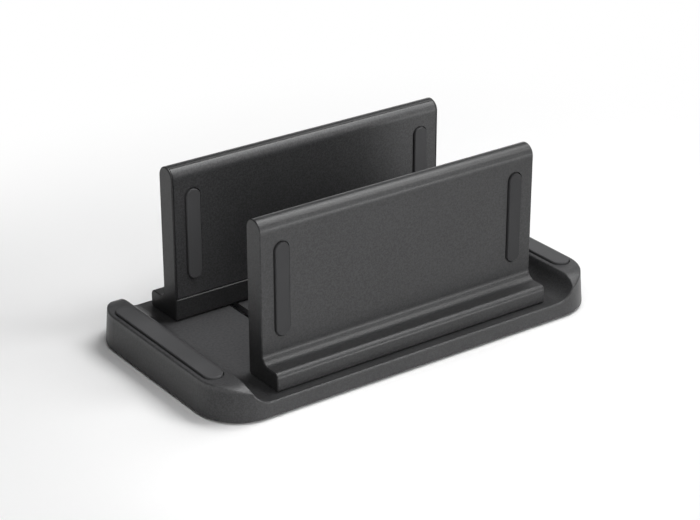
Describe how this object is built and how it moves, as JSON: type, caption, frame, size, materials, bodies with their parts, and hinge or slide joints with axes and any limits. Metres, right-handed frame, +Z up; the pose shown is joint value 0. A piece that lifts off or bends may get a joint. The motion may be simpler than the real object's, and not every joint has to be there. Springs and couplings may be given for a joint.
{
  "type": "small computer mount",
  "caption": "Desk stand with a ridged tray and upright panels that slide together on slots to hold a small computer on edge.",
  "frame": {"origin": "centre of the footprint, on the desk under the feet", "axes": "+X along the panels, +Y from the front panel to the back panel, +Z up"},
  "size_m": [0.214, 0.117, 0.084],
  "materials": {
    "base_plastic": "fine matte moulded texture",
    "panel_plastic": "fine matte moulded texture",
    "cover_plastic": "fine matte moulded texture",
    "grip_rubber": "matte",
    "foot_rubber": "matte",
    "clamp_steel": "zinc plated",
    "insert_brass": "plain"
  },
  "bodies": {
    "stand": {"base": "base_plastic", "left_end_grip": "grip_rubber", "right_end_grip": "grip_rubber", "front_left_foot": "foot_rubber", "back_left_foot": "foot_rubber", "front_right_foot": "foot_rubber", "back_right_foot": "foot_rubber"},
    "front_panel": {"front_panel_shell": "panel_plastic", "front_panel_cover": "cover_plastic", "front_outer_left_grip": "grip_rubber", "front_outer_right_grip": "grip_rubber", "front_inner_left_grip": "grip_rubber", "front_inner_right_grip": "grip_rubber", "front_left_insert": "insert_brass", "front_left_screw": "clamp_steel", "front_left_washer": "clamp_steel", "front_right_insert": "insert_brass", "front_right_screw": "clamp_steel", "front_right_washer": "clamp_steel"},
    "back_panel": {"back_panel_shell": "panel_plastic", "back_panel_cover": "cover_plastic", "back_outer_left_grip": "grip_rubber", "back_outer_right_grip": "grip_rubber", "back_inner_left_grip": "grip_rubber", "back_inner_right_grip": "grip_rubber", "back_left_insert": "insert_brass", "back_left_screw": "clamp_steel", "back_left_washer": "clamp_steel", "back_right_insert": "insert_brass", "back_right_screw": "clamp_steel", "back_right_washer": "clamp_steel"}
  },
  "joints": [
    {"name": "front_panel_slide", "type": "slide", "parent": "stand", "child": "front_panel", "axis": [0, 1, 0], "range_m": [-0.002, 0.029]},
    {"name": "back_panel_slide", "type": "slide", "parent": "stand", "child": "back_panel", "axis": [0, -1, 0], "range_m": [-0.002, 0.029]}
  ]
}
